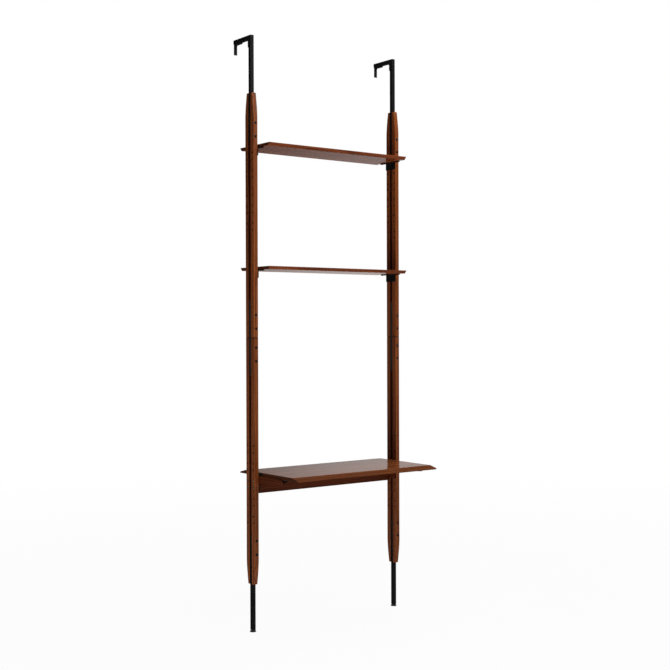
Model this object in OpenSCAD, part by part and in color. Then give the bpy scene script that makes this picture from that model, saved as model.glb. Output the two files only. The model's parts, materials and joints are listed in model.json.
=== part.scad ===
// Tall ladder shelf with two slotted wooden posts, two shelves and a desk board.
// Each post is two wooden lengths on square steel bars. The lower bars are the legs,
// and the upper bars bend back as hooks that hang over a rail on the wall.
// Origin: on the floor, at the middle of the bounding box. +X to the right, +Y to the wall.

/* [Posts] */
// Distance between the centre lines of the two posts
post_spacing = 857; // [700:1:1000]
// Depth of a post, front to back
post_depth = 70; // [64:1:90]
// Thickness of a post, side to side
post_thick = 22; // [21:0.5:30]
// Length of the upper of the two wooden lengths in a post
upper_length = 1146; // [1050:0.5:1300]
// Length of the lower wooden length
lower_length = 1153.5; // [1050:0.5:1300]
// Height of the wood above the floor
wood_height = 225; // [180:1:300]
// Length over which a free end of the wood narrows
taper_length = 118; // [60:1:135]
// How far the front and the back curve in at the free end
taper_inset = 13.5; // [4:0.5:20]
// Width of the groove in both side faces
groove_width = 17; // [12:0.5:18]
// Depth of the groove
groove_depth = 3.5; // [2:0.1:4]
// Gap left between the two wooden lengths
joint_gap = 0.1; // [0.1:0.1:1]
// Chamfer on the front and back edges at the middle joint
joint_chamfer = 1.5; // [0.5:0.1:3]

/* [Post holes] */
// Spacing of the two holes of a pair
pair_gap = 32; // [30:1:34]
// Distance between the two columns of holes
column_gap = 48; // [36:1:50]
// Distance between one pair and the next
pair_pitch = 82.3; // [70:0.1:84]
// Distance from the middle joint to the first hole
first_hole = 504.5; // [480:0.5:510]
// Number of pairs in each wooden length
pair_count = 5; // [3:1:5]
// Radius of a hole
hole_r = 2.8; // [2.6:0.05:3]

/* [Steel bars] */
// Side of the square steel tube
tube_side = 18.5; // [14:0.5:18.5]
// Wall of the steel tube
tube_wall = 1.5; // [1.2:0.1:2.5]
// Length of an end bar that is inside the wood
bar_reach = 228; // [220:1:300]
// Length of the bar across the middle joint
joiner_length = 352; // [300:1:420]
// Height of the top of the hooks
total_height = 2796; // [2700:1:3000]

/* [Hooks] */
// Reach of a hook arm behind the centre line of the post
hook_reach = 141; // [110:1:180]
// Length of the plate that hangs from the end of the arm
drop_length = 51; // [30:1:60]
// Thickness of the hanging plate
drop_thick = 4.5; // [3:0.5:6]
// Width of the hanging plate
drop_width = 16; // [12:0.5:18]
// Thickness of the steel strip under the arm
strip_thick = 3; // [2:0.5:4]
// Thickness of the rubber on the hook
rubber_thick = 2.5; // [1.5:0.5:4]
// Length of the rubber strip under the arm
liner_length = 48; // [40:1:60]
// Height of the rubber pad on the back of the upright
pad_height = 41; // [20:1:60]
// Thickness of the rubber pad on the back of the upright
pad_thick = 6.5; // [2:0.5:8]

/* [Shelves] */
// Depth of a shelf
shelf_depth = 250; // [220:1:300]
// Thickness of a shelf
shelf_thick = 15; // [12:0.5:20]
// How far the underside is set back by the slanted edge
shelf_bevel = 12; // [4:0.5:16]
// Height of the upper side of the top shelf
top_shelf_height = 2283; // [2270:1:2290]
// Height of the upper side of the middle shelf
middle_shelf_height = 1712; // [1650:1:1800]
// Gap between a post and the end of a board
end_gap = 5; // [4:0.5:6]

/* [Desk] */
// Height of the desk board
desk_height = 750; // [750:1:753]
// Reach of the desk board in front of the centre line of the posts
desk_front = 349; // [300:1:450]
// Reach of the desk board behind the centre line of the posts
desk_back = 133; // [100:1:138]
// Thickness of the desk board
desk_thick = 17; // [16:0.5:20]
// Upright lip at the front and back edges of the desk board
desk_lip = 6; // [3:0.5:8]
// Width of the slanted edge of the desk board
desk_bevel = 44.5; // [20:0.5:60]
// Height of the rail below the desk board
apron_height = 88.5; // [80:0.5:110]
// Thickness of the rail below the desk board
apron_thick = 18; // [16:1:20]

/* [Feet] */
// Diameter of a foot
foot_d = 29; // [24:1:36]
// Height of the leg tube's lower end above the floor
leg_clearance = 11; // [11:1:30]

/* [Hidden] */
$fn = 64;

walnut = "#5a2a17";
walnut_dark = "#4a2113";
black_steel = "#1c1d1e";
zinc = "#8b8d90";
rubber = "#111111";

LEFT = -1;
RIGHT = 1;
cut = 1;                                   // how far a cutter runs past a face
post_x = post_spacing / 2;
post_y = (desk_front - hook_reach) / 2;    // puts the bounding box's middle at Y = 0
joint_z = wood_height + lower_length;
wood_top = joint_z + upper_length;
inner_face = post_x - post_thick / 2;      // inner side of a post
board_end = inner_face - end_gap;          // end of the shelves and of the desk board

bar_slot = tube_side + 0.2;                // pocket in the wood around a steel bar
joiner_screws = [44, 107.5];               // distances from the middle joint
end_screws = [142, 205];                   // distances from a free end of the wood
screw_shank_r = 2.4;
screw_hole_r = 2.5;
screw_head_r = 6.6;
screw_head_h = 3.1;
bolt_head_r = 4.6;                         // desk bolts and bracket screws
bolt_head_h = 2.4;
small_head_r = 3.3;                        // screws of the shelves, the hooks and the desk board
small_head_h = 2;

arm_end = post_y + hook_reach;
arm_under = total_height - tube_side;
drop_inset = 2.5;                          // hanging plate's back, in front of the arm's end
drop_back = arm_end - drop_inset;
drop_front = drop_back - drop_thick;
gusset_r = 10;
upright_back = post_y + tube_side / 2;
pad_leg = 22;                              // length of the rail pad under the arm
pad_lip_r = 2.2;                           // round lip at the end of the rail pad
cap_depth = 13.5;                          // plug in the open end of the hook arm
cap_inset = 0.5;
plug_gap = 0.05;                           // between a plug and the bore of its tube
hook_screw_y = [drop_front - 16, drop_front - liner_length + 8];
hook_screw_r = 1.9;
liner_hole_r = 4;                          // around a screw, in the hook's rubber

flange_reach = 11.5;                       // shelf bracket's reach under the shelf
flange_thick = 4;
ear_reach = 35;                            // bracket's ears beyond the post
plate_height = 33;                         // bracket's plate below its flange
bracket_screw_drop = 23.8;                 // bracket screws below the shelf
bracket_screw_depth = 14;                  // into the post
shelf_screw_x = board_end - 3.4;
shelf_screw_y = post_depth / 2 + ear_reach - 8;
shelf_screw_r = 1.6;
shelf_pilot = 10;                          // depth of a screw's hole in a shelf
shelf_centre = post_y - 2;                 // middle of the shelves' depth

desk_under = desk_height - desk_thick;
cheek_thick = 9;
cheek_height = 78;
cheek_arm = [[34, 40], [92, 38], [180, 25], [238, 20], [216, 0]];  // forward, down
insert_nut_r = 4.5;
insert_nut_h = 7.5;
nose_thick = 5;                            // steel nose bracket on the cheek's inner side
nose_back = 150;                           // back end of the nose bracket, in front of the post
nose_front = [268, 240];                   // its reach forward, at its top and bottom
nose_height = 12;
nose_flange_w = 14;
nose_flange_t = 3;
nose_screw_y = [post_y - 176, post_y - 212];
nose_screw_z = desk_under - 7.5;
nose_screw_r = 1.5;
nose_pilot = 7;                            // depth of a screw's hole in a cheek
cheek_in = inner_face - cheek_thick;
apron_y = post_y + 14;
desk_bolt_r = 2.7;
desk_pair = 2;                             // third pair of the lower wood carries the desk
desk_holes = [for (j = [0, 1]) joint_z - first_hole - desk_pair * pair_pitch - j * pair_gap];
barrel_r = 5;
barrel_length = 14;
barrel_depth = 15;                         // bore for a barrel nut, from the rail's back
bolt_overrun = 6;                          // desk bolt's bore beyond its barrel nut
barrel_x = cheek_in - 32;
desk_screw_r = 1.8;
desk_pilot = 9;                            // depth of a screw's hole in the desk board
desk_screw_x = cheek_in - nose_thick - 4.5;
desk_screw_y = [post_y - 160, post_y - 230];
spacer_reach = 60;
spacer_height = 13;

stem_r = 4;
stem_clearance = 0.05;
stem_top = leg_clearance + 34;
stem_nut_h = 1.4;
stem_nut_r = 7;
nut_gap = 0.3;
insert_rim = 2;
insert_depth = 24;                         // length of the plug inside the leg tube
foot_base_h = 7;
foot_socket = 3;                           // depth of the stem's end in the foot
foot_neck_r = 6;

// ---------------------------------------------------------------- shared shapes

// A box from its two opposite corners
module block(low, high) {
    translate(low) cube(high - low);
}

// Extrudes a (Y, Z) outline along X, from x0 to x1
module along_x(x0, x1) {
    translate([x0, 0, 0]) rotate([90, 0, 90]) linear_extrude(x1 - x0) children();
}

// A cylinder along X, from x0 to x1
module rod_x(x0, x1, y, z, r) {
    translate([x0, y, z]) rotate([0, 90, 0]) cylinder(h = x1 - x0, r = r);
}

// A low domed screw head with a hexagon socket, whose flat side lies on Z = 0
module button_head(r, h, socket) {
    dome = (r * r + h * h) / (2 * h);
    difference() {
        intersection() {
            translate([0, 0, h - dome]) sphere(r = dome, $fn = 96);
            cylinder(h = h + cut, r = r);
        }
        translate([0, 0, h * 0.35]) cylinder(h = h + cut, r = socket / sqrt(3), $fn = 6);
    }
}

// A screw whose head rests on Z = 0 and whose shank points down
module screw(shank_r, length, head_r, head_h) {
    union() {
        button_head(head_r, head_h, head_r * 0.9);
        translate([0, 0, -length]) cylinder(h = length + head_h * 0.3, r = shank_r);
    }
}

// ---------------------------------------------------------------- posts

// Half depth of a wooden length at the height h above the middle joint
function half_depth(h, length) =
    let (t = max(0, (h - (length - taper_length)) / taper_length))
    post_depth / 2 - taper_inset * pow(t, 1.5);

// Side view of one wooden length, with the middle joint at the origin
module post_side_view(length) {
    steps = 12;
    foot = joint_gap / 2;
    edge = post_depth / 2 - joint_chamfer;
    heights = concat([foot + joint_chamfer],
                     [for (i = [0:steps]) length - taper_length * (1 - i / steps)]);
    front = [for (h = heights) [-half_depth(h, length), h]];
    back = [for (i = [len(heights) - 1:-1:0]) [half_depth(heights[i], length), heights[i]]];
    polygon(concat([[-edge, foot]], front, back, [[edge, foot]]));
}

// One wooden length, standing on the middle joint
module wooden_length(length) {
    difference() {
        along_x(-post_thick / 2, post_thick / 2) post_side_view(length);
        for (s = [-1, 1])
            translate([s * post_thick / 2, 0, length / 2])
                cube([2 * groove_depth, groove_width, length + 2 * cut], center = true);
        bar_pocket(-cut, joiner_length / 2 + 1);
        bar_pocket(length - bar_reach - 1, length + cut);
        for (k = [0:pair_count - 1], j = [0, 1], s = [-1, 1])
            rod_x(-post_thick, post_thick, s * column_gap / 2,
                  first_hole + k * pair_pitch + j * pair_gap, hole_r);
        for (h = joiner_screws) front_bore(h);
        for (h = end_screws) front_bore(length - h);
    }
}

module bar_pocket(z0, z1) {
    block([-bar_slot / 2, -bar_slot / 2, z0], [bar_slot / 2, bar_slot / 2, z1]);
}

// Clearance hole for a screw, from the front face to the bar
module front_bore(h) {
    translate([0, 0, h]) rotate([90, 0, 0]) cylinder(h = post_depth, r = screw_hole_r);
}

// Blind holes for the screws of the middle brackets, in the inner face
module bracket_pilots(side) {
    for (s = [-1, 1])
        rod_x(side > 0 ? -post_thick / 2 - cut : post_thick / 2 - bracket_screw_depth - cut,
              side > 0 ? -post_thick / 2 + bracket_screw_depth + cut : post_thick / 2 + cut,
              s * column_gap / 2,
              middle_shelf_height - shelf_thick - bracket_screw_drop - joint_z, hole_r);
}

module upper_post(side) {
    color(walnut) translate([side * post_x, post_y, joint_z])
        difference() {
            wooden_length(upper_length);
            bracket_pilots(side);
        }
}

module lower_post(side) {
    color(walnut) translate([side * post_x, post_y, joint_z]) mirror([0, 0, 1])
        wooden_length(lower_length);
}

// ---------------------------------------------------------------- steel bars

// A square tube along Z about the origin's axis
module tube_z(z0, z1) {
    half = tube_side / 2;
    bore = half - tube_wall;
    difference() {
        block([-half, -half, z0], [half, half, z1]);
        block([-bore, -bore, z0 - cut], [bore, bore, z1 + cut]);
    }
}

// Clearance holes for screws in the front wall of a bar
module front_wall_holes(heights) {
    for (z = heights)
        translate([0, 0, z]) rotate([90, 0, 0]) cylinder(h = tube_side, r = screw_hole_r);
}

module joiner_bar(side) {
    color(black_steel) translate([side * post_x, post_y, joint_z])
        difference() {
            tube_z(-joiner_length / 2, joiner_length / 2);
            front_wall_holes([for (h = joiner_screws, s = [-1, 1]) s * h]);
        }
}

module leg_tube(side) {
    color(black_steel) translate([side * post_x, post_y, 0])
        difference() {
            tube_z(leg_clearance, wood_height + bar_reach);
            front_wall_holes([for (h = end_screws) wood_height + h]);
        }
}

// Upright and arm of a hook, welded from square tube
module hook_rod(side) {
    half = tube_side / 2;
    bore = half - tube_wall;
    low = wood_top - bar_reach;
    color(black_steel) difference() {
        union() {
            translate([side * post_x, post_y, 0])
                block([-half, -half, low], [half, half, total_height]);
            block([side * post_x - half, post_y, arm_under],
                  [side * post_x + half, arm_end, total_height]);
        }
        translate([side * post_x, post_y, 0])
            block([-bore, -bore, low - cut], [bore, bore, total_height - tube_wall]);
        block([side * post_x - bore, post_y, arm_under + tube_wall],
              [side * post_x + bore, arm_end + cut, total_height - tube_wall]);
        translate([side * post_x, post_y, 0])
            front_wall_holes([for (h = end_screws) wood_top - h]);
        for (y = hook_screw_y)
            translate([side * post_x, y, arm_under - cut])
                cylinder(h = tube_wall + 2 * cut, r = hook_screw_r + 0.1);
    }
}

// Plastic plug in the open end of the hook arm
module hook_cap(side) {
    plug = tube_side / 2 - tube_wall - plug_gap;
    color(rubber) translate([side * post_x, 0, arm_under + tube_side / 2])
        block([-plug, arm_end - cap_inset - cap_depth, -plug], [plug, arm_end - cap_inset, plug]);
}

// Side view of the steel angle below the arm, with its rounded inner corner
module drop_side_view() {
    strip_under = arm_under - strip_thick;
    corner = [drop_front - gusset_r, strip_under - gusset_r];
    difference() {
        union() {
            translate([drop_front - liner_length, strip_under])
                square([liner_length + drop_thick, strip_thick]);
            translate([drop_front, arm_under - drop_length])
                square([drop_thick, drop_length]);
            translate(corner) square([gusset_r + 0.5, gusset_r + 0.5]);
        }
        translate(corner) circle(r = gusset_r);
    }
}

module hook_drop(side) {
    half = drop_width / 2;
    color(black_steel) translate([side * post_x, 0, 0])
        difference() {
            along_x(-half, half) drop_side_view();
            for (y = hook_screw_y)
                translate([0, y, arm_under - strip_thick - cut])
                    cylinder(h = strip_thick + 2 * cut, r = hook_screw_r + 0.1);
        }
}

// Rubber strip below the steel angle
module hook_liner(side) {
    half = drop_width / 2;
    top = arm_under - strip_thick;
    color(rubber) difference() {
        block([side * post_x - half, drop_front - liner_length, top - rubber_thick],
              [side * post_x + half, drop_front - gusset_r - 0.3, top]);
        for (y = hook_screw_y)
            translate([side * post_x, y, top - rubber_thick - cut])
                cylinder(h = rubber_thick + 2 * cut, r = liner_hole_r);
    }
}

// Rubber pad that bears on the wall rail, in the corner of the upright and the arm
module rail_pad(side) {
    half = tube_side / 2 - 0.4;
    low = arm_under - pad_height;
    color(rubber) translate([side * post_x, 0, 0]) union() {
        along_x(-half, half) polygon([
            [upright_back, low], [upright_back + pad_thick, low + pad_thick],
            [upright_back + pad_thick, arm_under - rubber_thick],
            [upright_back + pad_leg, arm_under - rubber_thick],
            [upright_back + pad_leg, arm_under], [upright_back, arm_under]
        ]);
        translate([-half, upright_back + pad_leg - 3, arm_under - rubber_thick]) rotate([0, 90, 0])
            cylinder(h = 2 * half, r = pad_lip_r);
    }
}

module hook_screws() {
    color(zinc) for (side = [LEFT, RIGHT], y = hook_screw_y)
        translate([side * post_x, y, arm_under - strip_thick]) mirror([0, 0, 1])
            screw(hook_screw_r, strip_thick + 6, small_head_r, small_head_h);
}

// All the screws that fasten the wood to the bars, in the front faces
module post_screws() {
    lower = concat([for (h = end_screws) wood_height + h],
                   [for (h = joiner_screws) joint_z - h]);
    upper = concat([for (h = end_screws) wood_top - h],
                   [for (h = joiner_screws) joint_z + h]);
    length = post_depth / 2 - tube_side / 2 + tube_wall + 3;
    color(black_steel) for (side = [LEFT, RIGHT], z = concat(lower, upper))
        translate([side * post_x, post_y - post_depth / 2, z]) rotate([90, 0, 0])
            screw(screw_shank_r, length, screw_head_r, screw_head_h);
}

// ---------------------------------------------------------------- feet

// Threaded plug in the lower end of the leg tube
module leg_insert(side) {
    plug = tube_side - 2 * (tube_wall + plug_gap);
    color(rubber) translate([side * post_x, post_y, 0]) difference() {
        union() {
            translate([0, 0, leg_clearance + insert_depth / 2])
                cube([plug, plug, insert_depth], center = true);
            translate([0, 0, leg_clearance - insert_rim / 2])
                cube([tube_side, tube_side, insert_rim], center = true);
        }
        translate([0, 0, leg_clearance - insert_rim - cut])
            cylinder(h = insert_depth + insert_rim + 2 * cut, r = stem_r + stem_clearance);
    }
}

// Threaded stem with a hexagon nut that turns it
module foot_stem(side) {
    color(zinc) translate([side * post_x, post_y, 0]) union() {
        translate([0, 0, foot_base_h - foot_socket])
            cylinder(h = stem_top - foot_base_h + foot_socket, r = stem_r);
        translate([0, 0, leg_clearance - insert_rim - nut_gap - stem_nut_h])
            cylinder(h = stem_nut_h, r = stem_nut_r, $fn = 6);
    }
}

// Round foot, hollow around the ball end of the stem
module foot_pad(side) {
    r = foot_d / 2;
    color(rubber) translate([side * post_x, post_y, 0]) difference() {
        rotate_extrude() polygon([
            [0, 0], [r - 1, 0], [r, 1], [r, 4], [r - 1, 5],
            [foot_neck_r + 1.5, 6.3], [foot_neck_r, foot_base_h], [0, foot_base_h]
        ]);
        translate([0, 0, foot_base_h - foot_socket - stem_clearance])
            cylinder(h = foot_base_h, r = stem_r + stem_clearance);
    }
}

// ---------------------------------------------------------------- shelves

// End view of a shelf, with its upper side at Z = 0 and the middle at Y = 0
module shelf_end_view() {
    half = shelf_depth / 2;
    arris = 1.5;
    polygon([
        [-half, 0], [-half, -arris], [-half + shelf_bevel, -shelf_thick],
        [half - shelf_bevel, -shelf_thick], [half, -arris], [half, 0]
    ]);
}

module shelf(height) {
    color(walnut_dark) difference() {
        translate([0, shelf_centre, height]) along_x(-board_end, board_end) shelf_end_view();
        for (x = [-shelf_screw_x, shelf_screw_x], s = [-1, 1])
            translate([x, post_y + s * shelf_screw_y, height - shelf_thick - cut])
                cylinder(h = shelf_pilot + cut, r = shelf_screw_r);
    }
}

// Steel angle that holds one end of a shelf, with ears in front of and behind the post
module shelf_bracket(side, height) {
    top = height - shelf_thick;
    half = post_depth / 2;
    ear = half + ear_reach;
    wall = end_gap - 0.1;
    color(black_steel) translate([side * inner_face, post_y, 0]) mirror([side > 0 ? 1 : 0, 0, 0])
        difference() {
            union() {
                block([0, -half, top - flange_thick - plate_height], [wall, half, top]);
                block([0, -ear, top - flange_thick], [flange_reach, ear, top]);
            }
            for (s = [-1, 1]) {
                rod_x(-cut, wall + cut, s * column_gap / 2, top - bracket_screw_drop, hole_r);
                translate([inner_face - shelf_screw_x, s * shelf_screw_y, top - flange_thick - cut])
                    cylinder(h = flange_thick + 2 * cut, r = shelf_screw_r + 0.2);
            }
        }
}

// Screws that hold the brackets to the posts
module bracket_screws() {
    color(black_steel) for (side = [LEFT, RIGHT], s = [-1, 1],
                     h = [top_shelf_height, middle_shelf_height])
        translate([side * (inner_face - end_gap + 0.1), post_y + s * column_gap / 2,
                   h - shelf_thick - bracket_screw_drop])
            rotate([0, -side * 90, 0])
                screw(hole_r - 0.1, end_gap + bracket_screw_depth - 0.5, bolt_head_r, bolt_head_h);
}

// Screws up through the brackets' ears into the shelves
module shelf_screws() {
    color(black_steel) for (x = [-shelf_screw_x, shelf_screw_x], s = [-1, 1],
                     h = [top_shelf_height, middle_shelf_height])
        translate([x, post_y + s * shelf_screw_y, h - shelf_thick - flange_thick])
            mirror([0, 0, 1]) screw(shelf_screw_r - 0.05, flange_thick + 9, small_head_r, small_head_h);
}

// ---------------------------------------------------------------- desk

// End view of the desk board, with its slanted front and back edges
module desk_end_view() {
    front = post_y - desk_front;
    back = post_y + desk_back;
    polygon([
        [front, desk_under], [back, desk_under], [back, desk_under + desk_lip],
        [back - desk_bevel, desk_height], [front + desk_bevel, desk_height],
        [front, desk_under + desk_lip]
    ]);
}

module desk_top() {
    color(walnut) difference() {
        along_x(-board_end, board_end) desk_end_view();
        for (side = [LEFT, RIGHT], y = desk_screw_y)
            translate([side * desk_screw_x, y, desk_under - cut])
                cylinder(h = desk_pilot + cut, r = desk_screw_r);
    }
}

// Wooden rail below the desk board, between the cheeks
module desk_apron() {
    z0 = desk_under - apron_height;
    round_r = 3;
    color(walnut_dark) difference() {
        along_x(-cheek_in, cheek_in) polygon([
            [apron_y, z0 + round_r], [apron_y + round_r, z0],
            [apron_y + apron_thick - round_r, z0], [apron_y + apron_thick, z0 + round_r],
            [apron_y + apron_thick, desk_under], [apron_y, desk_under]
        ]);
        for (side = [LEFT, RIGHT], z = desk_holes) {
            rod_x(side > 0 ? barrel_x - bolt_overrun : -cheek_in - cut,
                  side > 0 ? cheek_in + cut : -barrel_x + bolt_overrun,
                  post_y + column_gap / 2, z, desk_bolt_r + 0.1);
            translate([side * barrel_x, apron_y + apron_thick + cut, z]) rotate([90, 0, 0])
                cylinder(h = barrel_depth + cut, r = barrel_r + plug_gap);
        }
    }
}

// Wooden cheek on the inner side of a post: deep at the post, and a slender arm in front
module desk_cheek(side) {
    half = post_depth / 2 - 1;
    color(walnut_dark) translate([side * inner_face, 0, 0]) mirror([side > 0 ? 1 : 0, 0, 0])
        difference() {
            along_x(0, cheek_thick) polygon([
                [post_y + half, desk_under], [post_y + half, desk_under - cheek_height],
                [post_y - half, desk_under - cheek_height],
                for (p = cheek_arm) [post_y - p[0], desk_under - p[1]]
            ]);
            for (z = desk_holes) {
                rod_x(-cut, cheek_thick + cut, post_y + column_gap / 2, z, hole_r);
                rod_x(-cut, insert_nut_h, post_y - column_gap / 2, z, insert_nut_r + 0.02);
            }
            for (y = nose_screw_y)
                rod_x(cheek_thick - nose_pilot, cheek_thick + cut, y, nose_screw_z, nose_screw_r);
        }
}

// Steel bracket on the inner side of the cheek's arm, with a flange below the desk board
module desk_nose(side) {
    y_back = post_y - nose_back;
    y_top = post_y - nose_front[0];
    y_low = post_y - nose_front[1];
    color(black_steel) translate([side * cheek_in, 0, 0]) mirror([side > 0 ? 1 : 0, 0, 0])
        difference() {
            union() {
                along_x(0, nose_thick) polygon([
                    [y_back, desk_under], [y_back, desk_under - nose_height],
                    [y_low, desk_under - nose_height], [y_top, desk_under]
                ]);
                block([0, y_low, desk_under - nose_flange_t],
                      [nose_flange_w, y_back, desk_under]);
            }
            for (y = desk_screw_y)
                translate([cheek_in - desk_screw_x, y, desk_under - nose_flange_t - cut])
                    cylinder(h = nose_flange_t + 2 * cut, r = desk_screw_r + 0.2);
            for (y = nose_screw_y)
                rod_x(-cut, nose_thick + cut, y, nose_screw_z, nose_screw_r + 0.2);
        }
}

// Steel strip that fills the gap between a post and the end of the desk board
module desk_spacer(side) {
    z0 = desk_under + 2;
    color(black_steel) translate([side * inner_face, post_y, 0]) mirror([side > 0 ? 1 : 0, 0, 0])
        block([0, -spacer_reach, z0], [end_gap - 0.1, spacer_reach, z0 + spacer_height]);
}

// Bolts through the posts: the front ones end in the cheeks, the back ones in the rail
module desk_bolts() {
    front_length = post_thick + insert_nut_h - 0.3;
    back_length = post_x + post_thick / 2 - barrel_x + 5;
    color(zinc) for (side = [LEFT, RIGHT], z = desk_holes) {
        outside = side * (post_x + post_thick / 2);
        translate([outside, post_y - column_gap / 2, z]) rotate([0, side * 90, 0])
            screw(desk_bolt_r, front_length, bolt_head_r, bolt_head_h);
        translate([outside, post_y + column_gap / 2, z]) rotate([0, side * 90, 0])
            screw(desk_bolt_r, back_length, bolt_head_r, bolt_head_h);
    }
}

// Insert nuts set in the cheeks from the side of the post
module cheek_insert_nuts() {
    color(zinc) for (side = [LEFT, RIGHT], z = desk_holes)
        difference() {
            rod_x(side > 0 ? inner_face - insert_nut_h : -inner_face,
                  side > 0 ? inner_face : -inner_face + insert_nut_h,
                  post_y - column_gap / 2, z, insert_nut_r);
            rod_x(side * post_x - post_thick, side * post_x + post_thick,
                  post_y - column_gap / 2, z, desk_bolt_r);
        }
}

// Barrel nuts set in the rail from behind
module apron_barrel_nuts() {
    color(zinc) for (side = [LEFT, RIGHT], z = desk_holes)
        difference() {
            translate([side * barrel_x, apron_y + apron_thick - 0.5, z]) rotate([90, 0, 0])
                cylinder(h = barrel_length, r = barrel_r);
            rod_x(side * barrel_x - 2 * barrel_r, side * barrel_x + 2 * barrel_r,
                  post_y + column_gap / 2, z, desk_bolt_r);
        }
}

// Screws up through the nose brackets' flanges into the desk board
module desk_screws() {
    color(black_steel) for (side = [LEFT, RIGHT], y = desk_screw_y)
        translate([side * desk_screw_x, y, desk_under - nose_flange_t]) mirror([0, 0, 1])
            screw(desk_screw_r - 0.05, 11, small_head_r, small_head_h);
}

// Screws through the nose brackets into the cheeks
module nose_screws() {
    color(black_steel) for (side = [LEFT, RIGHT], y = nose_screw_y)
        translate([side * (cheek_in - nose_thick), y, nose_screw_z]) rotate([0, -side * 90, 0])
            screw(nose_screw_r - 0.05, nose_thick + 6.5, small_head_r, small_head_h);
}

// ---------------------------------------------------------------- nodes

upper_post(LEFT);  // left_upper_post
lower_post(LEFT);  // left_lower_post
upper_post(RIGHT);  // right_upper_post
lower_post(RIGHT);  // right_lower_post
hook_rod(LEFT);  // left_hook_rod
hook_rod(RIGHT);  // right_hook_rod
hook_drop(LEFT);  // left_hook_drop
hook_drop(RIGHT);  // right_hook_drop
hook_liner(LEFT);  // left_hook_liner
hook_liner(RIGHT);  // right_hook_liner
rail_pad(LEFT);  // left_rail_pad
rail_pad(RIGHT);  // right_rail_pad
hook_cap(LEFT);  // left_hook_cap
hook_cap(RIGHT);  // right_hook_cap
hook_screws();
joiner_bar(LEFT);  // left_joiner_bar
joiner_bar(RIGHT);  // right_joiner_bar
leg_tube(LEFT);  // left_leg_tube
leg_tube(RIGHT);  // right_leg_tube
post_screws();
leg_insert(LEFT);  // left_leg_insert
leg_insert(RIGHT);  // right_leg_insert
foot_stem(LEFT);  // left_foot_stem
foot_stem(RIGHT);  // right_foot_stem
foot_pad(LEFT);  // left_foot_pad
foot_pad(RIGHT);  // right_foot_pad
shelf(top_shelf_height);  // top_shelf
shelf(middle_shelf_height);  // middle_shelf
shelf_bracket(LEFT, top_shelf_height);  // top_left_bracket
shelf_bracket(RIGHT, top_shelf_height);  // top_right_bracket
shelf_bracket(LEFT, middle_shelf_height);  // middle_left_bracket
shelf_bracket(RIGHT, middle_shelf_height);  // middle_right_bracket
bracket_screws();
shelf_screws();
desk_top();
desk_apron();
desk_cheek(LEFT);  // left_desk_cheek
desk_cheek(RIGHT);  // right_desk_cheek
desk_nose(LEFT);  // left_desk_nose
desk_nose(RIGHT);  // right_desk_nose
desk_spacer(LEFT);  // left_desk_spacer
desk_spacer(RIGHT);  // right_desk_spacer
desk_bolts();
cheek_insert_nuts();
apron_barrel_nuts();
desk_screws();
nose_screws();
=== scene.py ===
"""Looks of the ladder shelf: lacquered walnut posts, shelves and desk on black steel bars."""
import math

import bmesh
import bpy
from mathutils import Matrix, Vector
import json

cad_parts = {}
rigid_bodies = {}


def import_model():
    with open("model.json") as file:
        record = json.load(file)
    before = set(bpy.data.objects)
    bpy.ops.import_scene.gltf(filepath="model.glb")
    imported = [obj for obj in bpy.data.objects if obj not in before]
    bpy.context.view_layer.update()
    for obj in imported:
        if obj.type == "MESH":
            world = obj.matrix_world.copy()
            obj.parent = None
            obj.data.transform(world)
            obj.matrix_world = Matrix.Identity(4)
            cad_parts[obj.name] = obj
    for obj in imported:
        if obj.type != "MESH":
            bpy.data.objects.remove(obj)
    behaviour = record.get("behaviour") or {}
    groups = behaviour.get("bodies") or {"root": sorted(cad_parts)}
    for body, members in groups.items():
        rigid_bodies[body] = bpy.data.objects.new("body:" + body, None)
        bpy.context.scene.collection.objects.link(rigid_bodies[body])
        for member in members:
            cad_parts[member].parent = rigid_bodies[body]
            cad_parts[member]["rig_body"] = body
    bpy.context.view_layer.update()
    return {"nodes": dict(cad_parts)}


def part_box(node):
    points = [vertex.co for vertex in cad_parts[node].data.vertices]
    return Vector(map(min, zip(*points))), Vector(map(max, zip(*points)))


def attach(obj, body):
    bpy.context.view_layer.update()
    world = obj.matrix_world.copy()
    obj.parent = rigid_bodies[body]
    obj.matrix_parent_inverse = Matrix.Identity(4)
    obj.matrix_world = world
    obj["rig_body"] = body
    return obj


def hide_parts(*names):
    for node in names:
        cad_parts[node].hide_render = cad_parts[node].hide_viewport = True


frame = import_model()
NODES = frame["nodes"]
SIDES = ("left", "right")

# ------------------------------------------------------------------ camera

POST_Y = sum(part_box("left_foot_pad")[i].y for i in (0, 1)) / 2
CAMERA_PLACE = Vector((-3.4597, -4.6874 + POST_Y, 1.4253))
CAMERA_YAW = math.radians(36.884)
CAMERA_PITCH = math.radians(-0.349)
CAMERA_ROLL = math.radians(-0.170)
CAMERA_LENS = 63.84


def make_camera():
    data = bpy.data.cameras.new("camera")
    data.lens = CAMERA_LENS
    data.sensor_width = 36
    data.clip_end = 200
    camera = bpy.data.objects.new("camera", data)
    bpy.context.scene.collection.objects.link(camera)
    turn = Matrix.Rotation(-CAMERA_YAW, 4, "Z")
    tilt = Matrix.Rotation(math.pi / 2 + CAMERA_PITCH, 4, "X")
    roll = Matrix.Rotation(CAMERA_ROLL, 4, "Z")
    camera.matrix_world = Matrix.Translation(CAMERA_PLACE) @ turn @ tilt @ roll
    bpy.context.scene.camera = camera


# ------------------------------------------------------------------ node helpers

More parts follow.
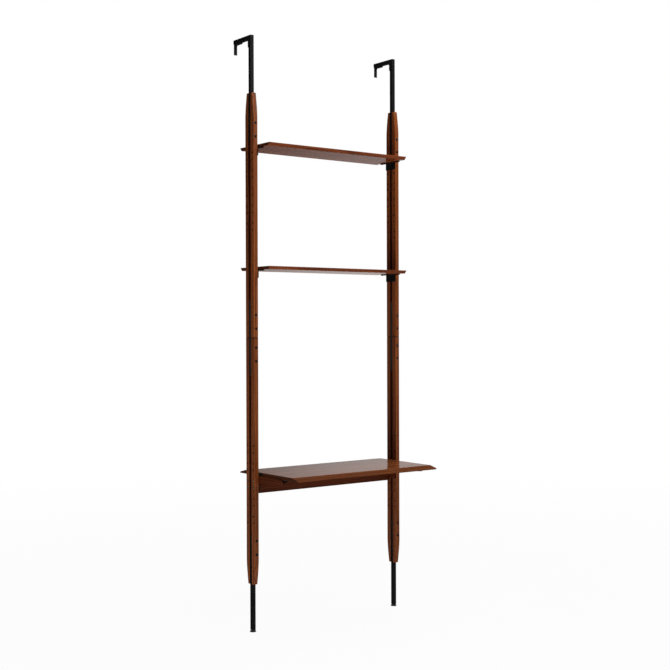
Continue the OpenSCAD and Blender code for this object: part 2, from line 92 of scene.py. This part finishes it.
class Tree:
    """A material's node tree, with short ways to add and join nodes."""

    def __init__(self, name):
        self.material = bpy.data.materials.new(name)
        self.material.use_nodes = True
        self.nodes = self.material.node_tree.nodes
        self.links = self.material.node_tree.links
        self.shader = self.nodes["Principled BSDF"]

    def add(self, kind, **settings):
        made = self.nodes.new(kind)
        for key, value in settings.items():
            setattr(made, key, value)
        return made

    def put(self, socket, value):
        """Joins a socket, or sets a plain value, on an input."""
        if isinstance(value, bpy.types.NodeSocket):
            self.links.new(value, socket)
        else:
            socket.default_value = value

    def math(self, operation, a, b=0.0, c=0.0):
        made = self.add("ShaderNodeMath", operation=operation)
        for socket, value in zip(made.inputs, (a, b, c)):
            self.put(socket, value)
        return made.outputs[0]

    def object_place(self):
        return self.add("ShaderNodeTexCoord").outputs["Object"]

    def mapped(self, vector, scale, shift=(0, 0, 0)):
        made = self.add("ShaderNodeMapping")
        self.put(made.inputs["Vector"], vector)
        made.inputs["Scale"].default_value = scale
        made.inputs["Location"].default_value = shift
        return made.outputs[0]

    def noise(self, vector, scale=1.0, detail=4.0, rough=0.5, distortion=0.0):
        made = self.add("ShaderNodeTexNoise")
        self.put(made.inputs["Vector"], vector)
        made.inputs["Scale"].default_value = scale
        made.inputs["Detail"].default_value = detail
        made.inputs["Roughness"].default_value = rough
        made.inputs["Distortion"].default_value = distortion
        return made.outputs[0]

    def ramp(self, factor, stops):
        """A colour ramp from a list of (position, (r, g, b)) stops."""
        made = self.add("ShaderNodeValToRGB")
        self.put(made.inputs[0], factor)
        band = made.color_ramp
        band.elements[0].position = stops[0][0]
        band.elements[0].color = (*stops[0][1], 1)
        band.elements[1].position = stops[-1][0]
        band.elements[1].color = (*stops[-1][1], 1)
        for place, colour in stops[1:-1]:
            band.elements.new(place).color = (*colour, 1)
        return made.outputs[0]

    def span(self, value, low, high, to_low=0.0, to_high=1.0):
        """Maps a value from one range to another, clamped."""
        made = self.add("ShaderNodeMapRange")
        self.put(made.inputs["Value"], value)
        for key, number in zip(("From Min", "From Max", "To Min", "To Max"),
                               (low, high, to_low, to_high)):
            made.inputs[key].default_value = number
        return made.outputs[0]

    def mix(self, factor, a, b, blend="MIX"):
        made = self.add("ShaderNodeMix", data_type="RGBA", blend_type=blend)
        self.put(made.inputs["Factor"], factor)
        self.put(made.inputs["A"], a if not isinstance(a, tuple) else (*a, 1))
        self.put(made.inputs["B"], b if not isinstance(b, tuple) else (*b, 1))
        return made.outputs["Result"]

    def bump(self, height, strength, distance):
        made = self.add("ShaderNodeBump")
        self.put(made.inputs["Height"], height)
        made.inputs["Strength"].default_value = strength
        made.inputs["Distance"].default_value = distance
        self.put(self.shader.inputs["Normal"], made.outputs[0])

    def set(self, **values):
        for key, value in values.items():
            self.put(self.shader.inputs[key.replace("_", " ")], value)


# ------------------------------------------------------------------ wood

# The posts' recesses, in metres. FIRST_HOLE and HOLES_REACH are counted from the middle joint.
POST_X = sum(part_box("right_foot_pad")[i].x for i in (0, 1)) / 2
JOINT_Z = (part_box("left_lower_post")[1].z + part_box("left_upper_post")[0].z) / 2
POST_HALF_THICK = 0.011
BELOW_FACE = 0.00004                # points this far inside a side face are in a recess
GROOVE_HALF = 0.0087
WALL_MARGIN = 0.0004                # how far past its wall a groove's matt faces may lie
COLUMN_HALF = 0.024                 # from the post's centre line to a column of holes
HOLE_RADIUS = 0.0028
HOLE_MARGIN = 0.001                 # how far the dark of a bored hole may reach past its wall
BORE_MARGIN = 0.0008                # how far past its wall a hole's matt faces may lie
FIRST_HOLE = 0.5045
PAIR_PITCH = 0.0823
PAIR_GAP = 0.032
PAIR_LEAD = 0.02                    # keeps a pair's rims in one period of the pitch
HOLES_REACH = 0.90
RIM_INNER = 0.0010                  # painted shade round a hole's rim: fully dark up to here past the wall
RIM_OUTER = 0.0022
RIM_SKIN = 0.0008                   # the painted shade lies within this depth of the side face
JOINT_DARK = 0.0021                 # dark line of the middle joint, half its width
JOINT_FADE = 0.0027
SHADOW_TONE = (0.016, 0.0012, 0.0002)


def scaled(tone, factor):
    return tuple(c * factor for c in tone)


def post_shadows(t, parts):
    """Near 1 where painted shade goes on a post: in its side grooves, in and round its holes, and
    along its middle joint.
    """
    def away(value, centre):
        return t.math("ABSOLUTE", t.math("SUBTRACT", value, centre))

    def product(value, *factors):
        for factor in factors:
            value = t.math("MULTIPLY", value, factor)
        return value

    x, y, z = parts.outputs
    from_axis_x = away(t.math("ABSOLUTE", x), POST_X)
    from_axis_y = away(y, POST_Y)
    from_hole_y = away(from_axis_y, COLUMN_HALF)
    from_joint = away(z, JOINT_Z)
    bored_span = t.math("LESS_THAN", from_joint, HOLES_REACH)

    groove = product(t.math("LESS_THAN", from_axis_y, GROOVE_HALF), 0.9)
    below_face = t.math("LESS_THAN", from_axis_x, POST_HALF_THICK - BELOW_FACE)
    near_column = t.math("LESS_THAN", from_hole_y, HOLE_RADIUS + HOLE_MARGIN)
    holes = product(below_face, near_column, bored_span, 0.97)
    joint = t.span(from_joint, JOINT_DARK, JOINT_FADE, 0.97, 0.0)

    along = t.math("SUBTRACT", from_joint, FIRST_HOLE)
    in_period = t.math("FLOORED_MODULO", t.math("ADD", along, PAIR_LEAD), PAIR_PITCH)
    from_pair_z = away(in_period, PAIR_LEAD + PAIR_GAP / 2)
    from_hole_z = away(from_pair_z, PAIR_GAP / 2)
    from_hole = t.math("SQRT", t.math("ADD", product(from_hole_z, from_hole_z),
                                      product(from_hole_y, from_hole_y)))
    past_first = t.math("GREATER_THAN", along, -PAIR_LEAD)
    on_side = t.math("GREATER_THAN", from_axis_x, POST_HALF_THICK - RIM_SKIN)
    # painted shade round each hole's rim, on the side faces
    rim_shade = t.span(from_hole, HOLE_RADIUS + RIM_INNER, HOLE_RADIUS + RIM_OUTER, 0.96, 0.0)
    rims = product(past_first, bored_span, on_side, rim_shade)

    shadow = groove
    for other in (holes, joint, rims):
        shadow = t.math("MAXIMUM", shadow, other)
    return shadow


RING_SLANT = (0.83, 0.56)           # how the growth rings lie to the axes across the grain
RING_DENSITY = 900.0                # radians of the rings' wave per metre across the grain
RING_WANDER = 42.0                  # how far the rings bend, in radians of that wave


def walnut(name, grain, seed, tones, figure=1.0, gloss=0.85, on_arris=False, post=False):
    """Lacquered walnut whose straight grain runs along the axis grain (0 is X, 2 is Z).

    tones are dark, middle and light; figure is how wide the growth rings wander;
    gloss is the weight of the lacquer; on_arris is for the arrises, painted lighter as
    rubbed wear and as a painted highlight; post adds painted shade in a post's recesses.
    """
    dark, middle, light = tones
    t = Tree(name)
    place = t.object_place()
    shift = (seed * 1.37, seed * 0.71, seed * 2.13)
    parts = t.add("ShaderNodeSeparateXYZ")
    t.put(parts.inputs[0], place)

    def stretched(across, along, detail, rough, distortion=0.0):
        """Noise drawn out along the grain, with so many grains per metre each way."""
        scale = [float(across)] * 3
        scale[grain] = float(along)
        return t.noise(t.mapped(place, scale, shift), 1, detail, rough, distortion)

    # growth rings: a wave across the grain, bent by slow noise
    wander = stretched(9, 0.7, 3, 0.5, 0.3)
    first, second = (parts.outputs[i] for i in range(3) if i != grain)
    across = t.math("ADD", t.math("MULTIPLY", first, RING_SLANT[0]),
                    t.math("MULTIPLY", second, RING_SLANT[1]))
    phase = t.math("ADD", t.math("MULTIPLY", across, RING_DENSITY),
                   t.math("MULTIPLY", wander, RING_WANDER * figure))
    rings = t.math("MULTIPLY_ADD", t.math("SINE", phase), 0.5, 0.5)
    cloud = stretched(14, 1.1, 2, 0.5)
    fibre = stretched(420, 3.5, 4, 0.62)
    streak = stretched(170, 1.8, 3, 0.6)
    pore = t.span(stretched(1300, 34, 2, 0.5), 0.60, 0.72)

    # straight grain: rings, clouds, fibres and streaks together, with dark pores
    tone = t.math("MULTIPLY", rings, 0.14)
    for part, weight in ((cloud, 0.22), (fibre, 0.25), (streak, 0.42)):
        tone = t.math("ADD", tone, t.math("MULTIPLY", part, weight))
    colour = t.ramp(tone, [(0.375, dark), (0.48, middle), (0.535, middle), (0.63, light)])
    colour = t.mix(t.math("MULTIPLY", pore, 0.6), colour, scaled(dark, 0.7))

    # end grain: dark dots on the faces that the grain runs into
    ends = t.add("ShaderNodeSeparateXYZ")
    t.put(ends.inputs[0], t.add("ShaderNodeTexCoord").outputs["Normal"])
    on_end = t.span(t.math("ABSOLUTE", ends.outputs[grain]), 0.75, 0.95)
    end_dots = t.span(t.noise(place, 900, 3, 0.6), 0.45, 0.62)
    end_tone = t.mix(end_dots, scaled(middle, 0.42), scaled(dark, 0.5))
    colour = t.mix(on_end, colour, end_tone)
    # arrises painted lighter: partly rubbed wear, partly a painted highlight where they catch the
    # light
    if on_arris:
        colour = t.mix(0.25, colour, light)
    # painted shade in a post's grooves and holes and along its middle joint
    if post:
        colour = t.mix(post_shadows(t, parts), colour, SHADOW_TONE)

    # satin wood with open pores under a smooth clear lacquer
    t.set(Base_Color=colour)
    t.set(Roughness=t.span(fibre, 0.3, 0.7, 0.44, 0.58))
    t.set(Specular_IOR_Level=0.1, IOR=1.5)
    t.set(Coat_Weight=gloss, Coat_Roughness=0.22 if on_arris else 0.17, Coat_IOR=1.45)
    height = t.math("SUBTRACT", t.math("MULTIPLY", fibre, 0.3), pore)
    t.bump(height, 0.14, 0.00012)
    return t.material


RUBBED_STEEL = (0.013, 0.013, 0.0125)
DUST = (0.05, 0.048, 0.045)


def powder_black(name, base, rough, on_arris=False, shine=0.045):
    """Black powder coat: fine orange peel, drifting gloss, and rubbed arrises."""
    t = Tree(name)
    place = t.object_place()
    peel = t.noise(place, 850, 3, 0.6)
    cloud = t.noise(place, 14, 3, 0.5)
    handled = t.span(t.noise(place, 60, 5, 0.7), 0.52, 0.66)
    colour = t.mix(t.span(cloud, 0.35, 0.7), base, scaled(base, 1.5))
    if on_arris:
        colour = t.mix(t.math("MULTIPLY", handled, 0.3), colour, RUBBED_STEEL)
    t.set(Base_Color=colour)
    t.set(Roughness=t.span(cloud, 0.3, 0.7, rough - 0.06, rough + 0.08))
    t.set(Specular_IOR_Level=shine)
    t.bump(peel, 0.07, 0.0001)
    return t.material


def zinc_steel(name, tint):
    """Zinc-plated fastener steel, clouded and faintly scratched."""
    t = Tree(name)
    place = t.object_place()
    cloud = t.noise(place, 240, 4, 0.6)
    scratch = t.span(t.noise(t.mapped(place, (300, 300, 3000)), 1, 2, 0.5), 0.62, 0.68)
    t.set(Metallic=1.0)
    t.set(Base_Color=t.mix(cloud, scaled(tint, 0.7), tint))
    t.set(Roughness=t.math("ADD", t.span(cloud, 0.3, 0.7, 0.26, 0.42),
                           t.math("MULTIPLY", scratch, 0.12)))
    t.bump(t.noise(place, 2400, 2, 0.5), 0.12, 0.00005)
    return t.material


def soft_black(name, base, rough, grain):
    """Matt rubber or moulded plastic with a fine grain and a little dust."""
    t = Tree(name)
    place = t.object_place()
    speck = t.noise(place, grain, 3, 0.6)
    dust = t.span(t.noise(place, 35, 4, 0.6), 0.5, 0.8)
    colour = t.mix(t.span(speck, 0.3, 0.7), base, scaled(base, 1.7))
    t.set(Base_Color=t.mix(t.math("MULTIPLY", dust, 0.25), colour, DUST))
    t.set(Roughness=t.span(speck, 0.3, 0.7, rough - 0.05, rough + 0.06))
    t.bump(speck, 0.2, 0.00015)
    return t.material


POST_TONES = ((0.050, 0.0085, 0.0015), (0.144, 0.0350, 0.0068), (0.246, 0.070, 0.0165))
SHELF_TONES = ((0.052, 0.0090, 0.0015), (0.142, 0.0290, 0.0050), (0.222, 0.054, 0.011))
# painted shade: the apron and cheeks, which sit under the desk, get darker tones than the other
# woods
RAIL_SHADED_TONES = ((0.038, 0.0058, 0.0006), (0.074, 0.0128, 0.0014), (0.104, 0.0205, 0.0028))
DESK_TONES = ((0.056, 0.0108, 0.0021), (0.146, 0.0365, 0.0078), (0.222, 0.067, 0.0170))

DESK_GLOSS = 0.70
RAIL_GLOSS = 0.6
DESK_EDGE_SHADE = 0.78             # painted shade: the front and back edge faces get darker tones than the top


# ------------------------------------------------------------------ pieces

def apply_modifiers(piece):
    bpy.context.view_layer.update()
    graph = bpy.context.evaluated_depsgraph_get()
    final = bpy.data.meshes.new_from_object(piece.evaluated_get(graph))
    piece.modifiers.clear()
    old = piece.data
    piece.data = final
    bpy.data.meshes.remove(old)


def add_piece(mesh, node, materials):
    """Makes an object from a bmesh in the frame's coordinates, standing for a CAD node."""
    data = bpy.data.meshes.new(node + "_finished")
    mesh.to_mesh(data)
    mesh.free()
    piece = bpy.data.objects.new(node + "_finished", data)
    bpy.context.scene.collection.objects.link(piece)
    data.materials.clear()
    for material in materials:
        data.materials.append(material)
    for face in data.polygons:
        face.material_index = 0
        face.use_smooth = True
    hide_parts(node)
    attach(piece, NODES[node]["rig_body"])
    return piece


SAME_POINT = 1e-6                   # points closer than this are joined
FLAT_ANGLE = 0.4                    # faces within so many degrees of one plane are joined
LONG_EDGE = 0.004                   # shorter edges belong to holes and round parts
SHORT_EDGE_BEVEL = 0.15             # their arris, as a part of a long edge's


def refined(node, width, materials, segments=2, angle=30):
    """A piece with the CAD node's shape, whose hard arrises are rounded and given the last of its
    materials, which on the woods is painted lighter as rubbed wear and as a painted highlight.
    """
    mesh = bmesh.new()
    mesh.from_mesh(NODES[node].data)
    bmesh.ops.remove_doubles(mesh, verts=mesh.verts, dist=SAME_POINT)
    bmesh.ops.dissolve_limit(mesh, angle_limit=math.radians(FLAT_ANGLE), verts=mesh.verts,
                             edges=mesh.edges)
    weight = mesh.edges.layers.float.new("bevel_weight_edge")
    for edge in mesh.edges:
        if edge.is_manifold and edge.calc_face_angle(0) > math.radians(angle):
            edge[weight] = 1.0 if edge.calc_length() > LONG_EDGE else SHORT_EDGE_BEVEL
    piece = add_piece(mesh, node, materials)
    bevel = piece.modifiers.new("arris", "BEVEL")
    bevel.width = width
    bevel.segments = segments
    bevel.limit_method = "WEIGHT"
    bevel.use_clamp_overlap = True
    bevel.material = len(materials) - 1
    normals = piece.modifiers.new("normals", "WEIGHTED_NORMAL")
    normals.mode = "FACE_AREA"
    normals.weight = 100
    apply_modifiers(piece)
    return piece


def wood_pair(name, grain, seed, tones, **options):
    """A wood for a piece's faces, and the same wood painted lighter for its arrises, as rubbed
    wear and as a painted highlight.
    """
    return (walnut(name, grain, seed, tones, **options),
            walnut(name + "_arris", grain, seed, tones, on_arris=True, **options))


def repaint(piece, material, chosen):
    """Gives a piece's chosen faces a material of their own."""
    piece.data.materials.append(material)
    for face in piece.data.polygons:
        if chosen(face):
            face.material_index = len(piece.data.materials) - 1


JOINT_END_REACH = 0.0022            # height within which the ends at the middle joint lie


def in_recess(face):
    """Whether a post's face is in a groove or a hole, or is an end at the middle joint."""
    side = abs(abs(face.center.x) - POST_X)
    back = abs(face.center.y - POST_Y)
    height = abs(face.center.z - JOINT_Z)
    tilt = abs(face.normal.z)
    sunk = side < POST_HALF_THICK - BELOW_FACE
    groove = sunk and tilt < 0.5 and back < GROOVE_HALF + WALL_MARGIN
    hole = sunk and height < HOLES_REACH and abs(back - COLUMN_HALF) < HOLE_RADIUS + BORE_MARGIN
    joint = height < JOINT_END_REACH and tilt > 0.3
    return groove or hole or joint


SLANTED = 0.15                      # least tilt towards the front or back of a slanted edge


def is_slanted(face):
    return abs(face.normal.y) > SLANTED


def make_wood():
    seed = 1
    for side in SIDES:
        for part in ("upper", "lower"):
            node = f"{side}_{part}_post"
            post = refined(node, 0.0012,
                           wood_pair("walnut_" + node, 2, seed, POST_TONES, post=True), 3)
            # painted shade: the recess faces get an unlacquered copy of the wood, keeping
            # reflections out of the grooves, holes and joint ends
            repaint(post, walnut(f"walnut_{node}_recess", 2, seed, POST_TONES,
                                 gloss=0.0, post=True), in_recess)
            seed += 1
    for node in ("top_shelf", "middle_shelf"):
        refined(node, 0.0006,
                wood_pair("walnut_" + node, 0, seed, SHELF_TONES, figure=1.6), 2, 20)
        seed += 1
    desk = refined("desk_top", 0.0008,
                   wood_pair("walnut_desk_top", 0, seed, DESK_TONES, figure=2.2,
                             gloss=DESK_GLOSS), 2, 10)
    # painted shade: darker tones on the desk's front and back edge faces
    edge_shade_tones = [scaled(tone, DESK_EDGE_SHADE) for tone in DESK_TONES]
    repaint(desk, walnut("walnut_desk_edge_shade", 0, seed, edge_shade_tones, gloss=DESK_GLOSS), is_slanted)
    refined("desk_apron", 0.0015,
            wood_pair("walnut_desk_apron", 0, seed + 1, RAIL_SHADED_TONES, gloss=RAIL_GLOSS), 3)
    cheek_wood = wood_pair("walnut_desk_cheek", 1, seed + 2, RAIL_SHADED_TONES, gloss=RAIL_GLOSS)
    for side in SIDES:
        refined(f"{side}_desk_cheek", 0.0008, cheek_wood, 2)


def make_steel():
    base = (0.0056, 0.0056, 0.0057)
    steel = (powder_black("black_powder_coat", base, 0.55),
             powder_black("black_powder_coat_arris", base, 0.48, on_arris=True))
    for side in SIDES:
        for node, width, segments in (
                (f"{side}_hook_rod", 0.0012, 3),
                (f"{side}_leg_tube", 0.0012, 3), (f"{side}_hook_drop", 0.0006, 2),
                (f"{side}_desk_nose", 0.0006, 2), (f"{side}_desk_spacer", 0.0005, 2),
                (f"top_{side}_bracket", 0.0006, 2), (f"middle_{side}_bracket", 0.0006, 2)):
            refined(node, width, steel, segments)
        # painted light: the joiner bars, which lie in the shaded grooves, get a lighter black
        # than the other steel
        refined(f"{side}_joiner_bar", 0.0008,
                (powder_black("black_joiner_coat_painted_light", (0.015, 0.0155, 0.0155), 0.6),))
    for node in ("bracket_screws", "shelf_screws", "desk_screws", "nose_screws"):
        refined(node, 0.0002, steel, 2)
    screw_black = (powder_black("black_oxide", (0.003, 0.0034, 0.0034), 0.36, shine=0.16),)
    refined("post_screws", 0.0002, screw_black, 2)


def make_soft_parts():
    rubber = (soft_black("black_rubber", (0.009, 0.009, 0.009), 0.7, 700),)
    plastic = (soft_black("black_plastic", (0.011, 0.011, 0.011), 0.5, 1100),)
    for side in SIDES:
        for node, slot, width, material in (
                ("hook_liner", "rubber", 0.0004, rubber), ("rail_pad", "rubber", 0.0005, rubber),
                ("foot_pad", "rubber", 0.0004, rubber),
                ("hook_cap", "black_plastic", 0.0008, plastic),
                ("leg_insert", "black_plastic", 0.0004, plastic)):
            refined(f"{side}_{node}", width, material)


STEM_RADIUS = 0.004
NUT_SPAN = (0.0073, 0.0087)         # heights of the hexagon nut on a foot's stem
NUT_EDGE = 0.0002                   # chamfer of the nut
THREAD_PITCH = 0.00125
THREAD_DEPTH = 0.0007
THREAD_STEPS = 4                    # rows of points in one turn of the thread
THREAD_SIDES = 32


def turned_column(mesh, centre, rows, sides):
    """A closed column from (height, radius) rows; radius is a function of the turn."""
    rings = []
    for height, radius in rows:
        ring = []
        for i in range(sides):
            turn = i / sides
            angle = 2 * math.pi * turn
            ring.append(mesh.verts.new((centre.x + radius(turn) * math.cos(angle),
                                        centre.y + radius(turn) * math.sin(angle), height)))
        rings.append(ring)
    for low, high in zip(rings, rings[1:]):
        for i in range(sides):
            j = (i + 1) % sides
            mesh.faces.new((low[i], low[j], high[j], high[i]))
    mesh.faces.new(rings[0][::-1])
    mesh.faces.new(rings[-1])


def threaded_stem(side, material):
    """A foot's stem with its cut thread and its hexagon nut, inside the CAD stem's shape."""
    node = f"{side}_foot_stem"
    low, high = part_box(node)
    mesh = bmesh.new()

    def thread(height):
        def radius(turn):
            phase = (height / THREAD_PITCH - turn) % 1.0
            return STEM_RADIUS - THREAD_DEPTH * abs(2 * phase - 1)
        return radius

    length = high.z - low.z
    count = int(length / THREAD_PITCH * THREAD_STEPS)
    heights = [low.z + length * k / count for k in range(count)]
    rows = [(height, thread(height)) for height in heights]
    rows.append((high.z, lambda turn: STEM_RADIUS - THREAD_DEPTH))
    turned_column(mesh, (low + high) / 2, rows, THREAD_SIDES)

    nut_r = (high.x - low.x) / 2
    nut_low, nut_high = NUT_SPAN
    nut = [(nut_low, nut_r - NUT_EDGE), (nut_low + NUT_EDGE, nut_r),
           (nut_high - NUT_EDGE, nut_r), (nut_high, nut_r - NUT_EDGE)]
    turned_column(mesh, (low + high) / 2, [(z, lambda turn, r=r: r) for z, r in nut], 6)
    piece = add_piece(mesh, node, (material,))
    for face in piece.data.polygons:
        face.use_smooth = False


def make_fasteners():
    zinc = (zinc_steel("zinc_plate", (0.42, 0.43, 0.45)),)
    for node in ("hook_screws", "cheek_insert_nuts", "desk_bolts", "apron_barrel_nuts"):
        refined(node, 0.0002, zinc, 2)
    for side in SIDES:
        threaded_stem(side, zinc[0])


def make_pieces():
    make_wood()
    make_steel()
    make_soft_parts()
    make_fasteners()


# ------------------------------------------------------------------ studio

BRIGHT_SIDE = Vector((0.643, 0.766, 0.02)).normalized()    # the lit sweep behind the object
ROOM_LIGHT = 0.024
SWEEP_LIGHT = 0.90
SWEEP_EDGE = 0.978                  # cosine of the angle from its middle where the sweep begins
FLOOR_RADIUS = 6.5
FLOOR_TONES = ((0.50, 0.50, 0.50), (0.54, 0.54, 0.54))
FLOOR_GLOW = 1.5                    # how much light the white floor sends up
FLOOR_FLAT = 0.955                  # how much of the floor's colour is free of shadows
FADE_START = 1.2                    # from here outwards the shadows fade out


def camera_ray(tree):
    """1 where the camera looks at a surface directly, 0 for every other ray of light."""
    return tree.nodes.new("ShaderNodeLightPath").outputs["Is Camera Ray"]


def make_floor():
    data = bpy.data.meshes.new("floor")
    mesh = bmesh.new()
    bmesh.ops.create_circle(mesh, cap_ends=True, segments=96, radius=FLOOR_RADIUS)
    mesh.to_mesh(data)
    mesh.free()
    floor = bpy.data.objects.new("floor", data)
    bpy.context.scene.collection.objects.link(floor)
    t = Tree("pale_floor")
    speck = t.noise(t.object_place(), 3, 3, 0.5)
    t.set(Base_Color=t.mix(t.span(speck, 0.3, 0.7), *FLOOR_TONES))
    t.set(Roughness=0.8)
    glow = t.add("ShaderNodeEmission")
    blend = t.add("ShaderNodeMixShader")
    distance = t.add("ShaderNodeVectorMath", operation="LENGTH")
    t.put(distance.inputs[0], t.object_place())
    faded = t.span(distance.outputs["Value"], FADE_START, FLOOR_RADIUS - 0.5, FLOOR_FLAT, 1.0)
    t.put(glow.inputs["Strength"], t.math("MULTIPLY_ADD", camera_ray(t), 1.0 - FLOOR_GLOW,
                                          FLOOR_GLOW))
    t.put(blend.inputs[0], faded)
    t.put(blend.inputs[1], t.shader.outputs[0])
    t.put(blend.inputs[2], glow.outputs[0])
    t.put(t.nodes["Material Output"].inputs[0], blend.outputs[0])
    data.materials.append(t.material)
    floor.visible_glossy = False


def make_world():
    """White to the camera; to everything else, a dim room with a bright sweep behind."""
    world = bpy.data.worlds.new("studio")
    bpy.context.scene.world = world
    world.use_nodes = True
    tree = world.node_tree
    room = tree.nodes["Background"]
    white = tree.nodes.new("ShaderNodeBackground")
    white.inputs["Strength"].default_value = 1.0
    white.inputs["Color"].default_value = (1, 1, 1, 1)
    room.inputs["Color"].default_value = (1, 1, 1, 1)
    facing = tree.nodes.new("ShaderNodeVectorMath")
    facing.operation = "DOT_PRODUCT"
    facing.inputs[1].default_value = BRIGHT_SIDE
    tree.links.new(tree.nodes.new("ShaderNodeTexCoord").outputs["Generated"], facing.inputs[0])
    level = tree.nodes.new("ShaderNodeMapRange")
    level.interpolation_type = "SMOOTHSTEP"
    for key, number in (("From Min", SWEEP_EDGE), ("From Max", 1.0),
                        ("To Min", ROOM_LIGHT), ("To Max", SWEEP_LIGHT)):
        level.inputs[key].default_value = number
    tree.links.new(facing.outputs["Value"], level.inputs["Value"])
    tree.links.new(level.outputs[0], room.inputs["Strength"])
    chosen = tree.nodes.new("ShaderNodeMixShader")
    tree.links.new(camera_ray(tree), chosen.inputs[0])
    tree.links.new(room.outputs[0], chosen.inputs[1])
    tree.links.new(white.outputs[0], chosen.inputs[2])
    tree.links.new(chosen.outputs[0], tree.nodes["World Output"].inputs[0])


def make_lamps():
    """Soft square lamps, each with its place, the point it shines at, its watts and its size."""
    for name, place, target, power, size in (
            ("key", (0.15, -2.9, 3.9), (0, 0, 2.4), 126, 1.6),
            ("side", (-5.0, -0.4, 0.9), (0, 0.1, 1.0), 42, 2.4),
            ("top", (0.4, -0.2, 6.2), (0, 0, 0.8), 260, 2.6)):
        data = bpy.data.lights.new(name, "AREA")
        data.energy = power
        data.size = size
        lamp = bpy.data.objects.new(name, data)
        bpy.context.scene.collection.objects.link(lamp)
        lamp.location = place
        lamp.rotation_euler = (Vector(target) - Vector(place)).to_track_quat("-Z", "Y").to_euler()


def make_studio():
    make_floor()
    make_world()
    make_lamps()
    bpy.context.scene.view_settings.view_transform = "Standard"


make_camera()
make_pieces()
make_studio()
